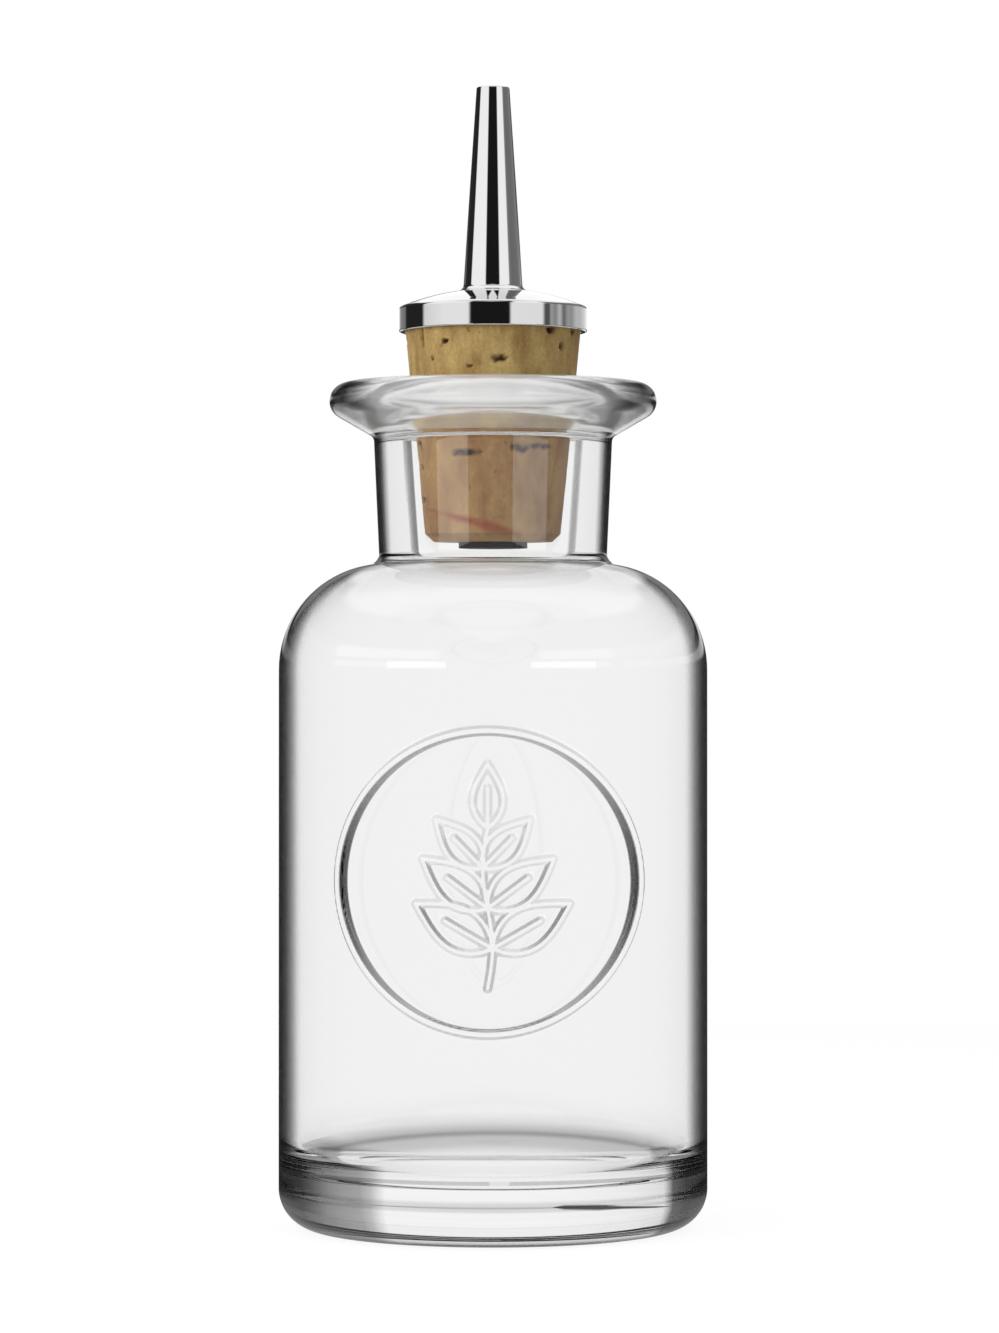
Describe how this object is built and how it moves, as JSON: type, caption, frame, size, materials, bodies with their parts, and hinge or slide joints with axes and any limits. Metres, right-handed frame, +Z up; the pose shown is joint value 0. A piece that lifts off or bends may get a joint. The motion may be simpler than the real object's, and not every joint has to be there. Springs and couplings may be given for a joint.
{
  "type": "bitters bottle",
  "caption": "Round glass dash bottle with a flanged lip and an embossed roundel, closed by a tapered cork stopper that carries a chromed pouring spout",
  "frame": {"origin": "centre of the bearing ring that the bottle stands on", "axes": "+Z up along the axis of the bottle and its stopper; the embossed roundel faces -Y"},
  "size_m": [0.053, 0.0534, 0.1412],
  "materials": {
    "glass": "clear flint glass, blown and fire-polished",
    "cork": "natural cork, ground to a taper",
    "chrome": "chrome plate, mirror polished",
    "steel": "stainless steel tube, drawn",
    "plastic": "black polyethylene, moulded"
  },
  "bodies": {
    "bottle": {"glass_bottle": "glass"},
    "stopper": {"cork_stopper": "cork", "pourer_cap": "chrome", "pourer_spout": "chrome", "shank_tube": "steel", "dash_insert": "plastic"}
  },
  "joints": [
    {"name": "stopper_lift", "type": "slide", "parent": "bottle", "child": "stopper", "axis": [0, 0, 1], "range_m": [0, 0.05]}
  ]
}
